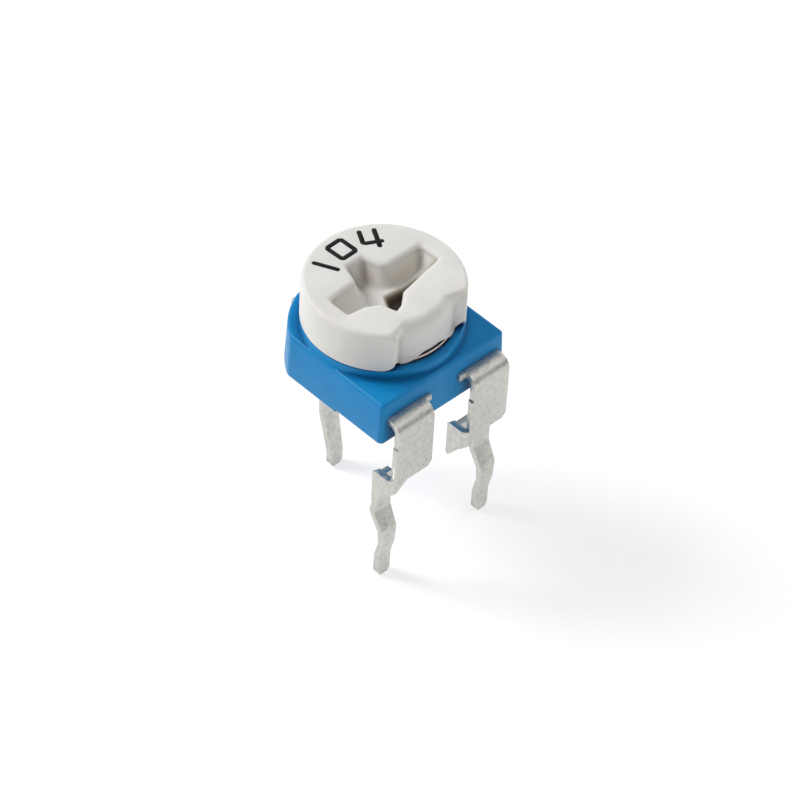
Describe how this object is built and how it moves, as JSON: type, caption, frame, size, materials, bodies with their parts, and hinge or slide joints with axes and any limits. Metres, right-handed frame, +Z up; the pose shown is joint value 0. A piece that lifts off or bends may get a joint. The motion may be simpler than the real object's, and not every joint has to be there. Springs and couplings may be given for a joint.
{
  "type": "trimmer potentiometer",
  "caption": "Small through-hole trimmer potentiometer: square moulded housing, round slotted rotor on top, three folded tinned leads below.",
  "frame": {"origin": "where the rotor axis crosses the face of the circuit board that the lead shoulders stand on", "axes": "+Z up along the rotor axis; the two end terminals are at -Y, the wiper terminal at +Y; +X runs from the left end terminal to the right one"},
  "size_m": [0.0062, 0.0078, 0.011],
  "materials": {
    "housing_plastic": "moulded, satin",
    "rotor_plastic": "moulded, satin",
    "spring_sheet": "rolled, bright",
    "laminate": "matte",
    "carbon_film": "matte",
    "silver_film": "satin",
    "tinned_sheet": "satin tin plate"
  },
  "bodies": {
    "base": {"housing": "housing_plastic", "element_board": "laminate", "carbon_track": "carbon_film", "end_pad_left": "silver_film", "end_pad_right": "silver_film", "end_terminal_left": "tinned_sheet", "end_terminal_right": "tinned_sheet", "wiper_terminal": "tinned_sheet"},
    "rotor": {"rotor": "rotor_plastic", "wiper": "spring_sheet"}
  },
  "joints": [
    {"name": "rotor_turn", "type": "hinge", "parent": "base", "child": "rotor", "pos_m": [0, 0, 0.0053], "axis": [0, 0, 1], "range_deg": [-115, 115]}
  ]
}
